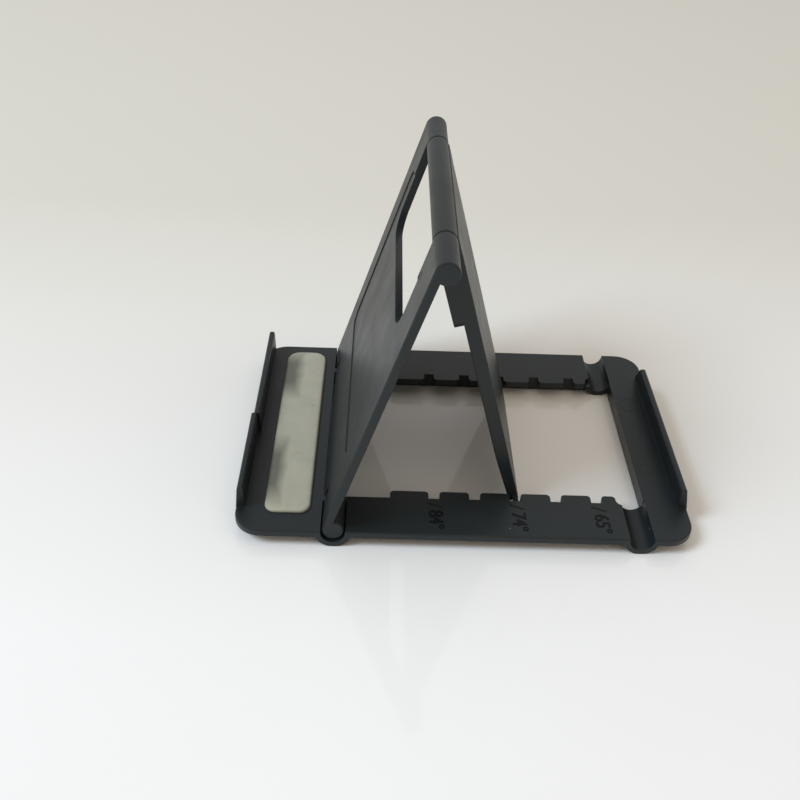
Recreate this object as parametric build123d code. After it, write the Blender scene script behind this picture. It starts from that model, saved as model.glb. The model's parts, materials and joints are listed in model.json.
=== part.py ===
"""Folding phone stand the size of a card case, modelled standing open.

Millimetres, +Z up. The origin is on the table under the middle of the base. +X runs from the
grip end towards the far end, and +Y from the front rail towards the rear rail.
"""

import os
from math import asin, atan2, cos, degrees, hypot, radians, sin

from build123d import *

os.makedirs("parts", exist_ok=True)

# ---- base frame ----
base_length = 100.0
base_width = 70.0
base_corner = 6.0
plate_top = 4.2
plate_thickness = 1.6
edge_round = 0.4
rail_width = 13.6  # outer edge to the tips of the teeth
notch_depth = 2.3
notch_width = 2.5
notch_pitch = 9.13
first_notch_x = -6.5
notch_count = 5
foot_notch = 2  # the leg stands in the third notch
tooth_round = 0.9
first_tooth_x = -16.3
last_tooth_x = 34.4
pocket_depth = 2.8  # beside the folded apex
pocket_round = 1.6
window_left_x = -31.15
window_right_x = 40.7
skirt_thickness = 1.1
skirt_bottom = 0.5

# ---- hinges ----
hinge_x = -28.5
nest_x = 38.2  # where the folded apex lies
axis_z = 3.85
barrel_radius = 2.4
trough_radius = 2.65
trough_flat = 1.1  # width of the flat that rests on the table
lug_thickness = 1.5
lug_radius = 2.2
end_play = 0.15
barrel_end_inset = 0.6
pin_radius = 0.75
pin_clearance = 0.05
hinge_pin_length = 8.0
apex_pin_length = 16.0
pin_end_inset = 3.0

# ---- lips ----
lip_top = 9.7
left_lip_front_y = -27.8
left_lip_step_y = -1.5
left_lip_rear_y = 33.4
left_lip_step = 0.6
left_lip_lean = 0.5
right_lip_front_y = -24.7
right_lip_rear_y = 25.0
right_lip_rear_slope = 4.0
right_lip_lean = 1.0
lip_foot_thickness = 2.0
lip_top_thickness = 1.3
lip_round = 0.5

# ---- grip pad ----
pad_left_x = -43.8
pad_right_x = -33.7
pad_front_y = -29.3
pad_rear_y = 31.4
pad_corner = 2.4
pad_pocket_depth = 0.4
pad_height = 0.9  # above the plate
pad_round = 0.3

# ---- back panel ----
panel_angle = 72.1
panel_thickness = 1.9
panel_round = 0.4
arm_width = 12.1
panel_window_start = 45.2  # distance from the hinge axis
panel_window_corner = 5.0
recess_depth = 0.25
recess_side = 7.6
recess_start = 14.5
recess_end = 58.4
recess_corner = 3.0
knuckle_inner_end = 12.6  # from the outer edge of the base

# ---- prop leg ----
leg_length = 68.0
leg_thickness = 2.9
leg_outer_offset = 2.6  # apex axis to the outer face
leg_side_gap = 0.25  # to the tips of the teeth
leg_shoulder = 3.4
foot_length = 13.0  # tapered stretch
foot_thickness = 2.2
leg_round = 0.35
block_length = 20.6
block_height = 2.0
block_corner = 2.5
peg_reach = 1.5
peg_length = 1.1
peg_thickness = 1.2
peg_offset = 0.4  # from the middle of the foot towards its outer face

plate_bottom = plate_top - plate_thickness
half_length = base_length / 2
half_width = base_width / 2
tooth_y = half_width - rail_width
notch_y = tooth_y + notch_depth
pocket_y = tooth_y + pocket_depth
barrel_end_y = half_width - barrel_end_inset
lug_inner_y = notch_y
lug_outer_y = notch_y + lug_thickness
knuckle_y = half_width - knuckle_inner_end
arm_y = half_width - arm_width
leg_y = tooth_y - leg_side_gap
panel_length = nest_x - hinge_x
panel_inner = barrel_radius - panel_thickness  # height of the inner face over the hinge axis

apex_x = hinge_x + panel_length * cos(radians(panel_angle))
apex_z = axis_z + panel_length * sin(radians(panel_angle))
foot_offset = leg_outer_offset - foot_thickness / 2
foot_reach = hypot(leg_length, foot_offset)
foot_x = first_notch_x + foot_notch * notch_pitch
leg_lean = degrees(asin((foot_x - apex_x) / foot_reach) - atan2(foot_offset, leg_length))
leg_angle = 90 + leg_lean

SIDES = {"front": -1, "rear": 1}


def box(x, y, z):
    """Solid box between pairs of limits."""
    size = (x[1] - x[0], y[1] - y[0], z[1] - z[0])
    return Pos((x[0] + x[1]) / 2, (y[0] + y[1]) / 2, (z[0] + z[1]) / 2) * Box(*size)


def rod(radius, y, x=0.0, z=0.0):
    """Cylinder along Y between two limits."""
    middle = (y[0] + y[1]) / 2
    return Pos(x, middle, z) * Rot(90, 0, 0) * Cylinder(radius, abs(y[1] - y[0]))


def rounded_rod(radius, y, edge, x=0.0):
    """Cylinder along Y whose two end rims are rounded."""
    barrel = rod(radius, y, x)
    return fillet(barrel.edges().filter_by(GeomType.CIRCLE), edge)


def span(side, near, far):
    """Limits along Y on one side of the middle, in rising order."""
    return tuple(sorted((side * near, side * far)))


def rounded_prism(x, y, z, radius):
    """Box whose four upright edges are rounded."""
    outline = RectangleRounded(x[1] - x[0], y[1] - y[0], radius)
    place = Pos((x[0] + x[1]) / 2, (y[0] + y[1]) / 2, z[0])
    return place * extrude(outline, z[1] - z[0])


def half_window():
    """The rear half of the base window: teeth, notches, foot recess and end pocket."""
    points = [(window_left_x, 0), (window_left_x, notch_y), (first_tooth_x, notch_y)]
    points.append((first_tooth_x, tooth_y))
    for number in range(notch_count):
        middle = first_notch_x + number * notch_pitch
        left, right = middle - notch_width / 2, middle + notch_width / 2
        points += [(left, tooth_y), (left, notch_y), (right, notch_y), (right, tooth_y)]
    points += [(last_tooth_x, tooth_y), (last_tooth_x, pocket_y)]
    points += [(window_right_x, pocket_y), (window_right_x, 0)]
    outline = make_face(Polyline(*points, close=True))
    tips = [v for v in outline.vertices() if abs(v.Y - tooth_y) < 0.01]
    outline = fillet(tips, tooth_round)
    inner = [v for v in outline.vertices() if abs(v.Y - pocket_y) < 0.01 and v.X < nest_x]
    return fillet(inner, pocket_round)


def lip(outer_x, inward, front_y, rear_y, lean, rear_slope=0.0):
    """Upright wall on the plate: inward is +1 on the left edge and -1 on the right."""
    section = Polyline(
        (outer_x, plate_bottom),
        (outer_x, plate_top),
        (outer_x + inward * lean, lip_top),
        (outer_x + inward * (lean + lip_top_thickness), lip_top),
        (outer_x + inward * lip_foot_thickness, plate_top),
        (outer_x + inward * lip_foot_thickness, plate_bottom),
        close=True,
    )
    wall = extrude(Plane.XZ * make_face(section), -(rear_y - front_y))
    wall = Pos(0, front_y, 0) * wall
    if rear_slope:
        corner = Polyline(
            (rear_y, plate_top), (rear_y, lip_top), (rear_y - rear_slope, lip_top), close=True
        )
        wedge = extrude(Plane.YZ * make_face(corner), half_length, both=True)
        wall -= Pos(outer_x, 0, 0) * wedge
    top_edges = wall.edges().filter_by(Axis.Y).group_by(Axis.Z)[-1]
    return fillet(top_edges, lip_round)


def make_base():
    plate = extrude(RectangleRounded(base_length, base_width, base_corner), plate_thickness)
    plate = Pos(0, 0, plate_bottom) * plate
    plate = fillet(plate.edges().group_by(Axis.Z)[-1], edge_round)

    outer = box(
        (window_left_x - skirt_thickness, window_right_x + skirt_thickness),
        (-notch_y - skirt_thickness, notch_y + skirt_thickness),
        (skirt_bottom, plate_bottom),
    )
    plate += outer - box(
        (window_left_x, window_right_x), (-notch_y, notch_y), (skirt_bottom, plate_bottom)
    )
    opening = half_window()
    opening = extrude(opening + mirror(opening, Plane.XZ), plate_top)
    plate -= opening

    trough_outer = hypot(axis_z, trough_flat / 2)
    below_plate = box((-half_length, half_length), (-half_width, half_width), (0, plate_bottom))
    for side in SIDES.values():
        for x, inner_y in ((hinge_x, notch_y), (nest_x, knuckle_y)):
            bulge = rod(trough_outer, span(side, inner_y, half_width), x, axis_z)
            plate += bulge & below_plate
        for x, inner_y in ((hinge_x, lug_outer_y), (nest_x, knuckle_y)):
            reach = span(side, inner_y, half_width + 1)
            plate -= rod(trough_radius, reach, x, axis_z)
            plate -= box((x - trough_radius, x + trough_radius), reach, (axis_z, plate_top + 1))
        lug_span = span(side, lug_inner_y, lug_outer_y)
        plate += rod(lug_radius, lug_span, hinge_x, axis_z)
        plate -= rod(pin_radius + pin_clearance, lug_span, hinge_x, axis_z)

    plate -= rounded_prism(
        (pad_left_x, pad_right_x),
        (pad_front_y, pad_rear_y),
        (plate_top - pad_pocket_depth, plate_top + 1),
        pad_corner,
    )
    step_x = -half_length + left_lip_step
    plate += lip(-half_length, 1, left_lip_front_y, left_lip_step_y, left_lip_lean)
    plate += lip(step_x, 1, left_lip_step_y, left_lip_rear_y, left_lip_lean)
    plate += lip(
        half_length, -1, right_lip_front_y, right_lip_rear_y, right_lip_lean, right_lip_rear_slope
    )
    return plate


def make_pad():
    pad = rounded_prism(
        (pad_left_x, pad_right_x),
        (pad_front_y, pad_rear_y),
        (plate_top - pad_pocket_depth, plate_top + pad_height),
        pad_corner,
    )
    return fillet(pad.edges().group_by(Axis.Z)[-1], pad_round)


def flat_panel():
    """The panel lying flat with its hinge axis on the origin and its outer face up."""
    outline = Pos(panel_length / 2, 0) * Rectangle(panel_length, 2 * barrel_end_y)
    window_length = panel_length - panel_window_start
    window = Pos(panel_window_start + window_length, 0) * Rectangle(2 * window_length, 2 * arm_y)
    lower = window.vertices().group_by(Axis.X)[0]
    outline -= fillet(lower, panel_window_corner)
    panel = Pos(0, 0, panel_inner) * extrude(outline, panel_thickness)
    sides = [e for e in panel.edges().filter_by(Axis.X) if abs(e.center().Y) > arm_y + 1]
    panel = fillet(sides, panel_round)
    panel += rounded_rod(barrel_radius, (-barrel_end_y, barrel_end_y), panel_round)
    middle_y = lug_outer_y + end_play
    panel -= box((-9, 9), (-middle_y, middle_y), (-9, panel_inner))

    recess = Pos((recess_start + recess_end) / 2, 0) * RectangleRounded(
        recess_end - recess_start, 2 * (half_width - recess_side), recess_corner
    )
    panel -= Pos(0, 0, barrel_radius - recess_depth) * extrude(recess, 1)
    for side in SIDES.values():
        reach = span(side, knuckle_y, barrel_end_y)
        panel += rounded_rod(barrel_radius, reach, panel_round, panel_length)
        slot = span(side, lug_inner_y - end_play, lug_outer_y + end_play)
        panel -= box((-9, barrel_radius + 0.3), slot, (-9, 9))
        pin = span(side, lug_outer_y, lug_inner_y + hinge_pin_length)
        panel -= rod(pin_radius, pin)
        pin = span(side, knuckle_y, barrel_end_y - pin_end_inset)
        panel -= rod(pin_radius, pin, panel_length)
    return panel


def flat_leg():
    """The leg folded flat, apex axis on the origin, outer face down, foot towards -X."""
    lower, upper = -leg_outer_offset, leg_thickness - leg_outer_offset
    leg = box((-leg_length, 0), (-leg_y, leg_y), (lower, upper))
    leg = fillet(leg.edges().filter_by(Axis.X), leg_round)
    thin = upper - lower - foot_thickness
    wedge = Polyline(
        (-leg_length, upper),
        (-leg_length + foot_length, upper),
        (-leg_length, upper - thin),
        close=True,
    )
    leg -= extrude(Plane.XZ * make_face(wedge), leg_y + 1, both=True)
    ends = knuckle_y - end_play
    shoulder = box((-leg_shoulder, 0), (-ends, ends), (lower, 0))
    leg += fillet(shoulder.edges().filter_by(Axis.X).group_by(Axis.Z)[0], leg_round)
    leg += rounded_rod(barrel_radius, (-ends, ends), leg_round)
    block = box((-block_length, 0), (-leg_y, leg_y), (upper - leg_round, upper + block_height))
    leg += fillet(block.edges().filter_by(Axis.Z).group_by(Axis.X)[0], block_corner)
    peg_middle = lower + foot_thickness / 2 - peg_offset
    leg += box(
        (-leg_length, -leg_length + peg_length),
        (-leg_y - peg_reach, leg_y + peg_reach),
        (peg_middle - peg_thickness / 2, peg_middle + peg_thickness / 2),
    )
    for side in SIDES.values():
        inner_end = barrel_end_y - pin_end_inset - apex_pin_length
        leg -= rod(pin_radius + pin_clearance, span(side, inner_end, half_width))
    return leg


def panel_place():
    return Pos(hinge_x, 0, axis_z) * Rot(0, -panel_angle, 0)


def leg_place():
    return Pos(apex_x, 0, apex_z) * Rot(0, -leg_angle, 0)


def make_pins():
    pins = {}
    for name, side in SIDES.items():
        reach = span(side, lug_inner_y, lug_inner_y + hinge_pin_length)
        pins[f"base_hinge_pin_{name}"] = rod(pin_radius, reach, hinge_x, axis_z)
        end = barrel_end_y - pin_end_inset
        reach = span(side, end - apex_pin_length, end)
        pins[f"apex_pin_{name}"] = rod(pin_radius, reach, apex_x, apex_z)
    return pins


nodes = {
    "base_frame": make_base(),
    "grip_pad": make_pad(),
    "back_panel": panel_place() * flat_panel(),
    "prop_leg": leg_place() * flat_leg(),
    **make_pins(),
}

for name, shape in nodes.items():
    export_step(shape, f"parts/{name}.step")
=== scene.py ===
"""The looks of a folding phone stand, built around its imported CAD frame. Metres, +Z up."""

import json
import math

import bmesh
import bpy
from mathutils import Matrix, Vector


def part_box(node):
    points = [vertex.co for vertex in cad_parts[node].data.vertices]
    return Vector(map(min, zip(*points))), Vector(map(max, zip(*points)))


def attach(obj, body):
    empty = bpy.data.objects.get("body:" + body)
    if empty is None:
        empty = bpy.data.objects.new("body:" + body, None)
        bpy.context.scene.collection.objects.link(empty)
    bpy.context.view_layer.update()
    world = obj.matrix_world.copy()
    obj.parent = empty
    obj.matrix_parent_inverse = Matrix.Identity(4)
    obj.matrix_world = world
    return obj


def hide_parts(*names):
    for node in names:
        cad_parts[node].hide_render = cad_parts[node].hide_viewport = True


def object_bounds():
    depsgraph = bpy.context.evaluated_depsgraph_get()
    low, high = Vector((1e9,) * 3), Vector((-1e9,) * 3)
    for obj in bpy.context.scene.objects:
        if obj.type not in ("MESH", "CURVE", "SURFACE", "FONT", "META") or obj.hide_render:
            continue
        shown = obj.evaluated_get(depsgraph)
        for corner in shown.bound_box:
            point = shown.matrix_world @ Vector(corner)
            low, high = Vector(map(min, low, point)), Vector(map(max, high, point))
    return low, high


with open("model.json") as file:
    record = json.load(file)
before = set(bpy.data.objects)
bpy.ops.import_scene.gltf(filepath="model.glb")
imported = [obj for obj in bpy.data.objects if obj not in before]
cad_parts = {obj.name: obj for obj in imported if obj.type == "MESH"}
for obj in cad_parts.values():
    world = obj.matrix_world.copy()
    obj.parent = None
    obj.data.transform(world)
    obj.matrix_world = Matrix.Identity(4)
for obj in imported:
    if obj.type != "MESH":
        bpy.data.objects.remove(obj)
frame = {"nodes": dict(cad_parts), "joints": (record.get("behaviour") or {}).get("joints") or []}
cad_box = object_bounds()
nodes = frame["nodes"]
MM = 0.001

# ---- camera, placed from the middle of the table under the stand ----
CAMERA_FROM_CENTRE = Vector((-19.4, -181.3, 151.5)) * MM
CAMERA_PITCH = 37.26
CAMERA_YAW = 1.57
CAMERA_ROLL = -2.6
CAMERA_LENS = 43.36
CAMERA_SENSOR = 36.0
CAMERA_NEAR = 5 * MM

# ---- moulded details ----
NOTCH_PITCH = 9.13 * MM
FIRST_NOTCH_X = -6.5 * MM
NOTCH_BOTTOM_Y = 23.7 * MM
MARKED_NOTCHES = (0, 2, 4)
FONT_SIZE = 3.3 * 1.35 * MM  # gives digits 3.3 mm high
DIGIT_SPACING = 0.95
DIGIT_BEVEL = 0.05 * MM
DIGITS_OFFSET = (0.1 * MM, -1.7 * MM)  # from the slash's middle
SLASH_START = (-1.5 * MM, 0.5 * MM)
SLASH_END = (1.7 * MM, -0.7 * MM)
SLASH_WIDTH = 0.4 * MM
MARK_RISE = 0.12 * MM  # the folded panel lies 0.15 mm over the rail
MARK_GAP = 1.9 * MM  # from the bottom of the notch to the slash
LEG_REACH = 68.0 * MM
PAD_OVER_PLATE = 0.9 * MM
PLATE_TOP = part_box("grip_pad")[1].z - PAD_OVER_PLATE
EJECTOR_MARKS = {"rear": (44.3, 12.8, 2.5), "front": (43.4, -11.7, 1.6)}  # x, y, radius, mm
ARM_MARK = (59.6, -24.4, 0.9)  # distance from the hinge, y and radius, mm
RING_WIDTH = 0.16 * MM
RING_SUNK = 0.03 * MM  # its middle, below the face
PANEL_FACE = 2.4 * MM  # the outer face over the hinge axis

# ---- grip pad ----
PAD_FRONT_CORNER = 2.4 * MM
PAD_REAR_CORNER = 3.4 * MM
PAD_LEAST_CORNER = 0.3 * MM
PAD_CORNER_STEPS = 8
PAD_PROFILE = (  # inset and height over the pad's underside, mm
    (0.0, 0.0),
    (0.0, 0.7),
    (0.05, 0.86),
    (0.16, 1.0),
    (0.32, 1.11),
    (0.55, 1.18),
    (0.95, 1.225),
    (1.9, 1.26),
    (3.2, 1.285),
    (4.6, 1.3),
)

# ---- light: a cool window at the left, warm walls, a cooler one behind the stand ----
ROOM_WARM = (1.0, 0.875, 0.71, 1)
ROOM_COOL = (0.92, 0.9, 0.88, 1)
ROOM_TURNS_COOL = (0.1, 0.6)  # over this much of the direction's Y
ROOM_STRENGTH = 0.68
WINDOW_PLACE = Vector((-0.936, -0.335, 0.985))
WINDOW_SIZE = 0.6
WINDOW_POWER = 12.8
WINDOW_COLOUR = (0.74, 0.88, 1.0)
TABLE_SIZE = 6.0

# ---- colours, linear ----
PLASTIC_DARK, PLASTIC_LIGHT = (0.0095, 0.0155, 0.019, 1), (0.015, 0.0195, 0.0215, 1)
PLASTIC_WORN = (0.03, 0.031, 0.03, 1)
LINT = (0.3, 0.29, 0.27, 1)
# Painted shade: the angle marks are coloured darker than the plastic, for the shade of their
# relief.
MARKS_DARK, MARKS_LIGHT = (0.003, 0.004, 0.005, 1), (0.006, 0.008, 0.009, 1)
SILICONE_DARK, SILICONE_LIGHT = (0.375, 0.372, 0.305, 1), (0.42, 0.418, 0.345, 1)
# Painted shade: the pad's colour in the two patches beside the left lip.
SILICONE_PAINTED_SHADE = (0.13, 0.135, 0.105, 1)
DUST = (0.62, 0.61, 0.57, 1)
STEEL_DARK, STEEL_LIGHT = (0.42, 0.41, 0.4, 1), (0.6, 0.59, 0.57, 1)
# Painted light falloff: the table's back colour is darker and warmer than its front colour.
TABLE_FRONT, TABLE_BACK = (0.915, 0.925, 0.955, 1), (0.7, 0.69, 0.645, 1)
TABLE_CLOUD = (0.66, 0.65, 0.63, 1)

# ---- textures ----
GRAIN = 0.16 * MM
SMEAR = 9.0 * MM
SPECK_CELL = 3.4 * MM
EDGE_WEAR = 0.35 * MM
EDGE_ROUNDING = 0.22 * MM
# Painted light falloff: Y where the table's painted tone starts and stops changing.
TABLE_PAINTED_FALLOFF = (-0.06, 0.13)  # Y where the table's tone starts and stops changing
# Two patches of painted shade on the pad, beside the left lip.
PAD_PAINTED_SHADE = ((-43.0, 21.5, 3.4, 9.0), (-43.4, -16.0, 2.8, 10.5))  # middle, half sizes, mm


def centre_under_object():
    low, high = cad_box
    return Vector(((low.x + high.x) / 2, (low.y + high.y) / 2, low.z))


# ---------------------------------------------------------------- node helpers

class Tree:
    """A short way to write a material's nodes."""

    def __init__(self, name):
        self.material = bpy.data.materials.new(name)
        self.material.use_nodes = True
        self.nodes = self.material.node_tree.nodes
        self.links = self.material.node_tree.links
        self.shader = self.nodes["Principled BSDF"]
        self.place = self.nodes.new("ShaderNodeTexCoord").outputs["Object"]

    def node(self, kind, inputs=None, **settings):
        made = self.nodes.new(kind)
        for key, value in settings.items():
            setattr(made, key, value)
        for key, value in (inputs or {}).items():
            self.feed(made.inputs[key], value)
        return made

    def feed(self, socket, value):
        if isinstance(value, bpy.types.NodeSocket):
            self.links.new(value, socket)
        else:
            socket.default_value = value

    def noise(self, size, detail=3.0, roughness=0.55):
        inputs = {"Vector": self.place, "Scale": 1 / size, "Detail": detail, "Roughness": roughness}
        return self.node("ShaderNodeTexNoise", inputs).outputs["Fac"]

    def spread(self, value, low, high, to_low, to_high):
        inputs = {0: value, 1: low, 2: high, 3: to_low, 4: to_high}
        return self.node("ShaderNodeMapRange", inputs).outputs[0]

    def math(self, operation, first, second=0.0):
        return self.node("ShaderNodeMath", {0: first, 1: second}, operation=operation).outputs[0]

    def mix(self, factor, first, second):
        made = self.node("ShaderNodeMix", data_type="RGBA")
        self.feed(made.inputs[0], factor)
        self.feed(made.inputs[6], first)
        self.feed(made.inputs[7], second)
        return made.outputs[2]

    def edge_mask(self, radius):
        """1 on the object's outer edges and 0 on its flat faces."""
        soft = self.node("ShaderNodeBevel", {"Radius": radius}, samples=4).outputs["Normal"]
        true = self.node("ShaderNodeNewGeometry").outputs["Normal"]
        same = self.node("ShaderNodeVectorMath", {0: soft, 1: true}, operation="DOT_PRODUCT")
        return self.spread(same.outputs["Value"], 0.995, 0.9, 0.0, 1.0)

    def specks(self, cell, share, radius):
        """Small round dots, one in a share of the cells."""
        made = self.node("ShaderNodeTexVoronoi", {"Vector": self.place, "Scale": 1 / cell})
        near = self.math("LESS_THAN", made.outputs["Distance"], radius / cell)
        parts = self.node("ShaderNodeSeparateColor", {0: made.outputs["Color"]})
        chosen = self.math("GREATER_THAN", parts.outputs[0], 1 - share)
        return self.math("MULTIPLY", near, chosen)

    def bump(self, height, strength, distance, rounding=0.0):
        made = self.node("ShaderNodeBump", {"Strength": strength, "Distance": distance})
        self.feed(made.inputs["Height"], height)
        if rounding:
            soft = self.node("ShaderNodeBevel", {"Radius": rounding}, samples=4)
            self.feed(made.inputs["Normal"], soft.outputs["Normal"])
        self.feed(self.shader.inputs["Normal"], made.outputs["Normal"])


def black_plastic():
    """Satin black plastic: fine grain, handling smears, paler polished edges, lint."""
    tree = Tree("satin_black_abs")
    grain = tree.noise(GRAIN, 2.0, 0.6)
    smear = tree.noise(SMEAR, 4.0, 0.6)
    tone = tree.spread(smear, 0.35, 0.7, 0.0, 1.0)
    colour = tree.mix(tone, PLASTIC_DARK, PLASTIC_LIGHT)
    patchy = tree.spread(tree.noise(1.6 * MM), 0.35, 0.7, 0.15, 0.7)
    worn = tree.math("MULTIPLY", tree.edge_mask(EDGE_WEAR), patchy)
    colour = tree.mix(worn, colour, PLASTIC_WORN)
    lint = tree.specks(SPECK_CELL, 0.14, 0.11 * MM)
    colour = tree.mix(lint, colour, LINT)
    tree.feed(tree.shader.inputs["Base Color"], colour)
    rough = tree.spread(smear, 0.3, 0.7, 0.35, 0.45)
    rough = tree.math("SUBTRACT", rough, tree.math("MULTIPLY", worn, 0.08))
    tree.feed(tree.shader.inputs["Roughness"], rough)
    tree.shader.inputs["IOR"].default_value = 1.41
    height = tree.math("ADD", grain, tree.math("MULTIPLY", lint, 3.0))
    tree.bump(height, 0.22, 0.02 * MM, EDGE_ROUNDING)
    return tree.material


def marking_plastic():
    """The angle marks: darker and less shiny than the plastic, so that they can be read; the darker
    colour is painted shade of their relief.
    """
    tree = Tree("angle_marks_painted_shade")
    smear = tree.noise(1.2 * MM, 3.0)
    # Painted shade of the marks' relief: a darker colour than the plastic.
    tree.feed(tree.shader.inputs["Base Color"], tree.mix(smear, MARKS_DARK, MARKS_LIGHT))
    tree.feed(tree.shader.inputs["Roughness"], tree.spread(smear, 0.3, 0.7, 0.3, 0.42))
    tree.shader.inputs["IOR"].default_value = 1.25
    tree.bump(tree.noise(GRAIN), 0.12, 0.02 * MM, 0.05 * MM)
    return tree.material


def grey_silicone():
    """Pale yellow-green silicone with a little dust, darker in two soft patches of painted shade
    beside the left lip.
    """
    tree = Tree("grey_silicone")
    cloud = tree.noise(5 * MM, 2.0, 0.45)
    tone = tree.spread(cloud, 0.3, 0.7, 0.0, 1.0)
    colour = tree.mix(tone, SILICONE_DARK, SILICONE_LIGHT)
    # Painted shade: the pad is darkened in two patches beside the left lip.
    colour = tree.mix(painted_lip_shade(tree), colour, SILICONE_PAINTED_SHADE)
    dust = tree.specks(1.7 * MM, 0.12, 0.06 * MM)
    colour = tree.mix(dust, colour, DUST)
    tree.feed(tree.shader.inputs["Base Color"], colour)
    tree.feed(tree.shader.inputs["Roughness"], tree.spread(cloud, 0.3, 0.7, 0.27, 0.35))
    tree.shader.inputs["IOR"].default_value = 1.42
    tree.shader.inputs["Subsurface Weight"].default_value = 0.2
    tree.shader.inputs["Subsurface Scale"].default_value = 0.4 * MM
    tree.bump(tree.noise(0.5 * MM, 4.0), 0.06, 0.03 * MM)
    return tree.material


def painted_lip_shade(tree):
    """1 inside the two long soft patches of painted shade along the pad's left edge, beside the
    lip.
    """
    parts = tree.node("ShaderNodeSeparateXYZ", {0: tree.place})
    wander = tree.math("MULTIPLY", tree.math("SUBTRACT", tree.noise(6 * MM, 1.0), 0.5), 1.6 * MM)
    along_x = tree.math("ADD", parts.outputs[0], wander)
    along_y = tree.math("ADD", parts.outputs[1], wander)
    total = 0.0
    for centre_x, centre_y, half_x, half_y in PAD_PAINTED_SHADE:
        across = tree.math("DIVIDE", tree.math("SUBTRACT", along_x, centre_x * MM), half_x * MM)
        along = tree.math("DIVIDE", tree.math("SUBTRACT", along_y, centre_y * MM), half_y * MM)
        far = tree.math("MAXIMUM", tree.math("ABSOLUTE", across), tree.math("ABSOLUTE", along))
        total = tree.math("MAXIMUM", total, tree.spread(far, 0.45, 1.25, 1.0, 0.0))
    return total


def pin_steel():
    """Drawn steel, with faint rings round the wire."""
    tree = Tree("drawn_steel")
    rings = tree.node(
        "ShaderNodeTexWave",
        {"Vector": tree.place, "Scale": 1 / (0.9 * MM), "Distortion": 2.0, "Detail": 2.0},
        bands_direction="Y",
    ).outputs["Fac"]
    tree.feed(tree.shader.inputs["Base Color"], tree.mix(rings, STEEL_DARK, STEEL_LIGHT))
    tree.shader.inputs["Metallic"].default_value = 1.0
    tree.feed(tree.shader.inputs["Roughness"], tree.spread(rings, 0.0, 1.0, 0.24, 0.36))
    tree.bump(rings, 0.1, 0.01 * MM)
    return tree.material


def table_top():
    """White lacquered table with painted light falloff: cool and bright at the front, darker and
    warmer towards the back.
    """
    tree = Tree("white_lacquer")
    cloud = tree.noise(60 * MM, 3.0)
    depth = tree.node("ShaderNodeSeparateXYZ", {0: tree.place}).outputs[1]
    # Painted light falloff from the front of the table to the back.
    painted_falloff = tree.spread(depth, *TABLE_PAINTED_FALLOFF, 0.0, 1.0)
    colour = tree.mix(painted_falloff, TABLE_FRONT, TABLE_BACK)
    colour = tree.mix(tree.math("MULTIPLY", cloud, 0.12), colour, TABLE_CLOUD)
    tree.feed(tree.shader.inputs["Base Color"], colour)
    tree.feed(tree.shader.inputs["Roughness"], tree.spread(cloud, 0.3, 0.7, 0.035, 0.06))
    tree.bump(tree.noise(14 * MM, 2.0), 0.01, 0.05 * MM)
    return tree.material


def paint(piece, material):
    piece.data.materials.clear()
    piece.data.materials.append(material)


# ---------------------------------------------------------------- grip pad

def pad_outline(inset):
    """The pad's outline from above, drawn in by that much; its rear corners are rounder."""
    low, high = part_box("grip_pad")
    middle = (low + high) / 2
    corners = (
        (high.x, high.y, PAD_REAR_CORNER),
        (low.x, high.y, PAD_REAR_CORNER),
        (low.x, low.y, PAD_FRONT_CORNER),
        (high.x, low.y, PAD_FRONT_CORNER),
    )
    points = []
    for quarter, (x, y, radius) in enumerate(corners):
        left = max(radius - inset, PAD_LEAST_CORNER)
        reach = inset + left
        centre_x = x - math.copysign(reach, x - middle.x)
        centre_y = y - math.copysign(reach, y - middle.y)
        for step in range(PAD_CORNER_STEPS + 1):
            turn = math.radians(90 * (quarter + step / PAD_CORNER_STEPS))
            points.append((centre_x + left * math.cos(turn), centre_y + left * math.sin(turn)))
    return points


def grip_pad(material):
    """The silicone strip: upright sides, a soft rim and a slightly crowned top."""
    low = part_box("grip_pad")[0]
    work = bmesh.new()
    rings = []
    for inset, height in PAD_PROFILE:
        level = low.z + height * MM
        rings.append([work.verts.new((x, y, level)) for x, y in pad_outline(inset * MM)])
    count = len(rings[0])
    for lower, upper in zip(rings, rings[1:]):
        for here in range(count):
            after = (here + 1) % count
            work.faces.new((lower[here], lower[after], upper[after], upper[here]))
    work.faces.new(reversed(rings[0]))
    work.faces.new(rings[-1])
    mesh = bpy.data.meshes.new("silicone_pad")
    work.to_mesh(mesh)
    work.free()
    for face in mesh.polygons:
        face.use_smooth = True
    pad = bpy.data.objects.new("silicone_pad", mesh)
    bpy.context.scene.collection.objects.link(pad)
    paint(pad, material)
    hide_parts("grip_pad")
    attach(pad, "base")


# ---------------------------------------------------------------- moulded marks

def hinge_and_apex():
    places = {joint["name"]: Vector(joint["pos_m"]) for joint in frame["joints"]}
    return places["panel_hinge"], places["leg_hinge"]


def rest_angle(notch_x):
    """The panel's angle with the leg's foot at that place, from the sides of the triangle."""
    hinge, apex = hinge_and_apex()
    panel, reach = (apex - hinge).length, notch_x - hinge.x
    cosine = (panel**2 + reach**2 - LEG_REACH**2) / (2 * panel * reach)
    return round(math.degrees(math.acos(cosine)))


def mesh_of(curve_object, name):
    """The curve or text as a mesh piece of that name."""
    bpy.context.view_layer.update()
    evaluated = curve_object.evaluated_get(bpy.context.evaluated_depsgraph_get())
    mesh = bpy.data.meshes.new_from_object(evaluated)
    mesh.transform(curve_object.matrix_world)
    piece = bpy.data.objects.new(name, mesh)
    bpy.context.scene.collection.objects.link(piece)
    bpy.data.objects.remove(curve_object)
    return piece


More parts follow.
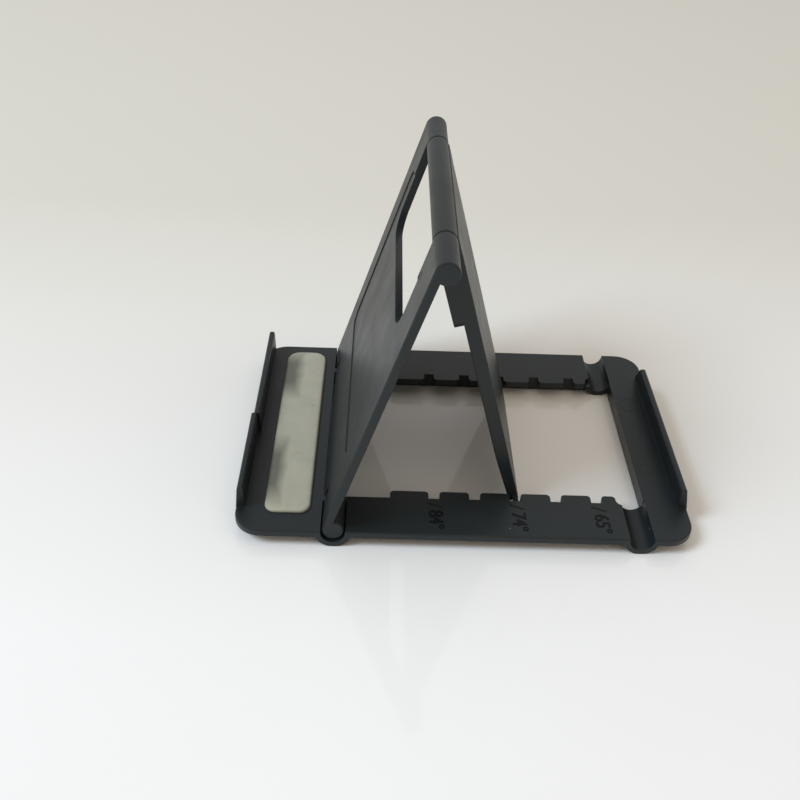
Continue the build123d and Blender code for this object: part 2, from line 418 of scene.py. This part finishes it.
def angle_digits(name, text, place):
    """Raised digits that read outwards across the front rail."""
    curve = bpy.data.curves.new(name, "FONT")
    curve.body = text
    curve.size = FONT_SIZE
    curve.extrude = MARK_RISE - DIGIT_BEVEL
    curve.bevel_depth = DIGIT_BEVEL
    curve.space_character = DIGIT_SPACING
    curve.align_x = "LEFT"
    curve.align_y = "CENTER"
    digits = bpy.data.objects.new(name + "_curve", curve)
    bpy.context.scene.collection.objects.link(digits)
    digits.matrix_world = Matrix.Translation(place) @ Matrix.Rotation(-math.pi / 2, 4, "Z")
    return mesh_of(digits, name)


def raised_stroke(name, start, end):
    """A straight raised line with round ends."""
    curve = bpy.data.curves.new(name, "CURVE")
    curve.dimensions = "3D"
    curve.bevel_depth = SLASH_WIDTH / 2
    curve.bevel_resolution = 3
    curve.use_fill_caps = True
    line = curve.splines.new("POLY")
    line.points.add(1)
    line.points[0].co = (*start, 1)
    line.points[1].co = (*end, 1)
    stroke = bpy.data.objects.new(name + "_curve", curve)
    bpy.context.scene.collection.objects.link(stroke)
    return mesh_of(stroke, name)


def raised_ring(name, place, radius):
    """The low round witness line that an ejector pin leaves."""
    bpy.ops.mesh.primitive_torus_add(
        major_radius=radius, minor_radius=RING_WIDTH / 2, major_segments=64, minor_segments=8
    )
    ring = bpy.context.object
    ring.name = name
    ring.data.transform(place)
    return ring


def moulded_marks(material):
    slash_z = PLATE_TOP + MARK_RISE - SLASH_WIDTH / 2
    for number in MARKED_NOTCHES:
        x = FIRST_NOTCH_X + number * NOTCH_PITCH
        y = -NOTCH_BOTTOM_Y - MARK_GAP
        slash = raised_stroke(
            f"angle_slash_{number + 1}",
            (x + SLASH_START[0], y + SLASH_START[1], slash_z),
            (x + SLASH_END[0], y + SLASH_END[1], slash_z),
        )
        place = Vector((x + DIGITS_OFFSET[0], y + DIGITS_OFFSET[1], PLATE_TOP))
        digits = angle_digits(f"angle_digits_{number + 1}", f"{rest_angle(x)}°", place)
        for piece in (slash, digits):
            paint(piece, material)
            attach(piece, "base")


def ejector_marks(material):
    for name, (x, y, radius) in EJECTOR_MARKS.items():
        place = Matrix.Translation((x * MM, y * MM, PLATE_TOP - RING_SUNK))
        ring = raised_ring(f"ejector_ring_{name}", place, radius * MM)
        paint(ring, material)
        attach(ring, "base")
    hinge, apex = hinge_and_apex()
    lean = math.atan2(apex.z - hinge.z, apex.x - hinge.x)
    panel = Matrix.Translation(hinge) @ Matrix.Rotation(-lean, 4, "Y")
    distance, y, radius = ARM_MARK
    place = panel @ Matrix.Translation((distance * MM, y * MM, PANEL_FACE - RING_SUNK))
    ring = raised_ring("ejector_ring_arm", place, radius * MM)
    paint(ring, material)
    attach(ring, "panel")


# ---------------------------------------------------------------- stage

def floor():
    bpy.ops.mesh.primitive_plane_add(size=TABLE_SIZE, location=(0, 0, cad_box[0].z))
    plane = bpy.context.object
    plane.name = "table_top"
    paint(plane, table_top())


def window_light():
    data = bpy.data.lights.new("window", "AREA")
    data.shape = "DISK"
    data.size = WINDOW_SIZE
    data.energy = WINDOW_POWER
    data.color = WINDOW_COLOUR
    lamp = bpy.data.objects.new("window", data)
    bpy.context.scene.collection.objects.link(lamp)
    lamp.visible_glossy = False  # its mirror image would fill the table behind the stand
    lamp.location = WINDOW_PLACE
    lamp.rotation_euler = (-WINDOW_PLACE).to_track_quat("-Z", "Y").to_euler()


def room_light():
    world = bpy.data.worlds.new("soft_room")
    bpy.context.scene.world = world
    world.use_nodes = True
    kinds, links = world.node_tree.nodes, world.node_tree.links
    background = kinds["Background"]
    direction = kinds.new("ShaderNodeTexCoord").outputs["Generated"]
    parts = kinds.new("ShaderNodeSeparateXYZ")
    links.new(direction, parts.inputs[0])
    ramp = kinds.new("ShaderNodeValToRGB")
    stops = zip(ramp.color_ramp.elements, ROOM_TURNS_COOL, (ROOM_WARM, ROOM_COOL))
    for stop, position, colour in stops:
        stop.position = position
        stop.color = colour
    links.new(parts.outputs[1], ramp.inputs[0])
    links.new(ramp.outputs[0], background.inputs["Color"])
    background.inputs["Strength"].default_value = ROOM_STRENGTH


def camera():
    data = bpy.data.cameras.new("camera")
    data.sensor_width = CAMERA_SENSOR
    data.lens = CAMERA_LENS
    data.clip_start = CAMERA_NEAR
    eye = bpy.data.objects.new("camera", data)
    bpy.context.scene.collection.objects.link(eye)
    turn = Matrix.Rotation(math.radians(-CAMERA_YAW), 4, "Z")
    tilt = Matrix.Rotation(math.radians(90 - CAMERA_PITCH), 4, "X")
    roll = Matrix.Rotation(math.radians(-CAMERA_ROLL), 4, "Z")
    place = Matrix.Translation(centre_under_object() + CAMERA_FROM_CENTRE)
    eye.matrix_world = place @ turn @ tilt @ roll
    bpy.context.scene.camera = eye


# ---------------------------------------------------------------- the object

camera()
room_light()
window_light()
bpy.context.scene.view_settings.view_transform = "Standard"
floor()

plastic = black_plastic()
for node in ("base_frame", "back_panel", "prop_leg"):
    paint(nodes[node], plastic)
grip_pad(grey_silicone())
steel = pin_steel()
for node in nodes:
    if "pin_" in node:
        paint(nodes[node], steel)

moulded_marks(marking_plastic())
ejector_marks(plastic)
